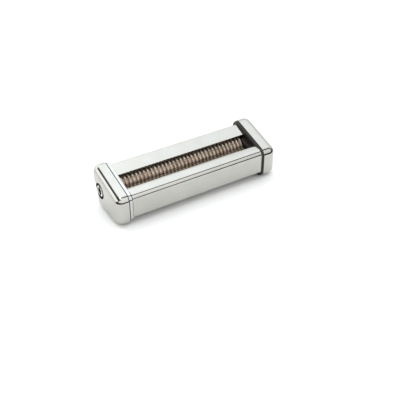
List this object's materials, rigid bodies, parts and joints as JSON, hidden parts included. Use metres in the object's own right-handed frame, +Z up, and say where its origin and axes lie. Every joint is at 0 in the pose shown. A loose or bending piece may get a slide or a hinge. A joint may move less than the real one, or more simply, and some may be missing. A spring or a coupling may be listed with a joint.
{
  "type": "pasta cutter head",
  "caption": "Chromed cutter head for a hand-cranked pasta machine: two geared, ring-grooved rollers slice a dough sheet fed through the top slot into strips.",
  "frame": {"origin": "centre of the bounding box's footprint, on the base", "axes": "+X along the rollers, away from the crank side; -Y is the front, where the strips leave; +Z up"},
  "size_m": [0.175, 0.055, 0.0427],
  "materials": {
    "chrome": "polished chrome plate on pressed steel",
    "seal_black": "matt black strip",
    "block_black": "black, slightly glossy",
    "plate_chrome": "polished chrome plate, a little duller than the caps",
    "bush_bronze": "sintered bronze, oiled",
    "rod_steel": "drawn bar, zinc plated",
    "screw_steel": "nickel plated",
    "comb_steel": "stainless strip",
    "roller_steel": "turned steel with fine circular tool marks",
    "coupling_steel": "turned steel",
    "spring_steel": "blackened spring steel",
    "gear_steel": "milled steel, lightly greased"
  },
  "bodies": {
    "housing": {"left_end_cap": "chrome", "right_end_cap": "chrome", "left_rim_seal": "seal_black", "right_rim_seal": "seal_black", "left_side_plate": "plate_chrome", "right_side_plate": "block_black", "left_rear_bush": "bush_bronze", "left_front_bush": "bush_bronze", "right_rear_bush": "bush_bronze", "right_front_bush": "bush_bronze", "front_cover": "chrome", "rear_cover": "chrome", "front_tie_rod": "rod_steel", "upper_tie_rod": "rod_steel", "lower_tie_rod": "rod_steel", "tie_rod_screws": "screw_steel", "cap_screws": "screw_steel", "front_comb": "comb_steel", "rear_comb": "comb_steel", "end_block": "block_black"},
    "drive_roller": {"rear_cutter_roller": "roller_steel", "crank_coupling": "coupling_steel", "rear_retaining_ring": "spring_steel", "drive_gear": "gear_steel", "drive_gear_washer": "screw_steel", "drive_gear_screw": "screw_steel"},
    "driven_roller": {"front_cutter_roller": "roller_steel", "front_retaining_ring": "spring_steel", "driven_gear": "gear_steel", "driven_gear_washer": "screw_steel", "driven_gear_screw": "screw_steel"}
  },
  "joints": [
    {"name": "drive_roller_spin", "type": "hinge", "parent": "housing", "child": "drive_roller", "pos_m": [0, 0.0095, 0.0214], "axis": [1, 0, 0], "continuous": true},
    {"name": "driven_roller_spin", "type": "hinge", "parent": "housing", "child": "driven_roller", "pos_m": [0, -0.00894, 0.0168], "axis": [1, 0, 0], "continuous": true}
  ],
  "couplings": [
    {"joint": "driven_roller_spin", "follows": "drive_roller_spin", "ratio": -1}
  ]
}
